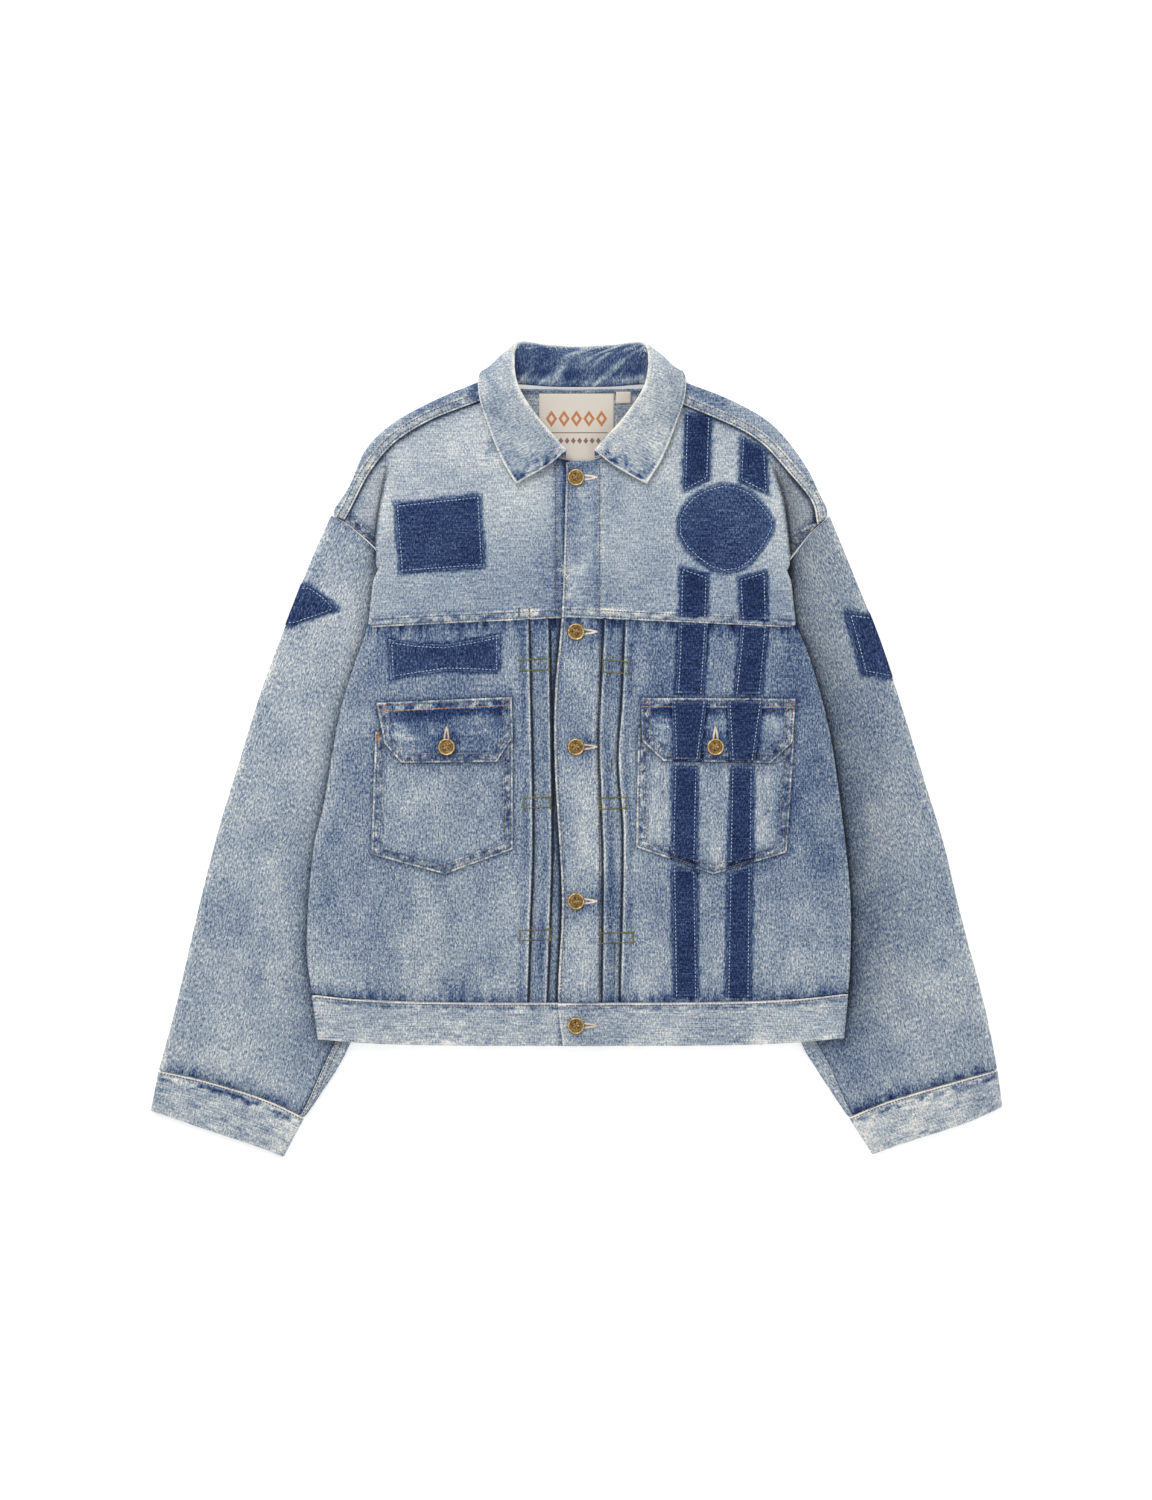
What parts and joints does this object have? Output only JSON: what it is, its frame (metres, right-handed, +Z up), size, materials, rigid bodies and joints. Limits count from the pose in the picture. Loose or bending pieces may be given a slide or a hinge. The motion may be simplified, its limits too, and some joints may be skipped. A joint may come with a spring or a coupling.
{
  "type": "patched boro denim jacket",
  "caption": "Worn denim work jacket with sewn-on indigo patches, pleated fronts and flap pockets, buttoned and laid flat on its back.",
  "frame": {"origin": "middle of the footprint, on the surface the jacket lies on", "axes": "+X to the wearer's left, +Y towards the collar, +Z up, away from the surface; the fronts face +Z"},
  "size_m": [0.8512, 0.8146, 0.0262],
  "materials": {
    "denim": "washed and faded indigo twill with pale worn ridges along the seams",
    "collar_denim": "washed indigo twill, darker on the inner side",
    "patch_cloth": "deep indigo plain weave with running stitches",
    "button_metal": "antique, worn rims",
    "label_cloth": "ecru woven tape"
  },
  "bodies": {
    "root": {"back_panel": "denim", "right_front_yoke": "denim", "left_front_yoke": "denim", "right_front_panel": "denim", "left_front_panel": "denim", "waistband_right": "denim", "waistband_left": "denim", "waistband_back": "denim", "right_sleeve_top": "denim", "left_sleeve_top": "denim", "right_sleeve_under": "denim", "left_sleeve_under": "denim", "right_cuff": "denim", "left_cuff": "denim", "right_pocket": "denim", "left_pocket": "denim", "right_pocket_flap": "denim", "left_pocket_flap": "denim", "collar": "collar_denim", "patch_rectangle": "patch_cloth", "patch_waisted": "patch_cloth", "patch_barrel": "patch_cloth", "patch_sleeve_leaf": "patch_cloth", "patch_sleeve_rectangle": "patch_cloth", "strip_shoulder_inner": "patch_cloth", "strip_shoulder_outer": "patch_cloth", "strip_yoke_inner": "patch_cloth", "strip_yoke_outer": "patch_cloth", "strip_front_inner": "patch_cloth", "strip_front_outer": "patch_cloth", "strip_flap_inner": "patch_cloth", "strip_flap_outer": "patch_cloth", "strip_pocket_inner": "patch_cloth", "strip_pocket_outer": "patch_cloth", "strip_hem_inner": "patch_cloth", "strip_hem_outer": "patch_cloth", "front_button_1": "button_metal", "front_button_2": "button_metal", "front_button_3": "button_metal", "front_button_4": "button_metal", "front_button_5": "button_metal", "right_pocket_button": "button_metal", "left_pocket_button": "button_metal", "neck_label": "label_cloth", "size_tag": "label_cloth"}
  },
  "joints": []
}
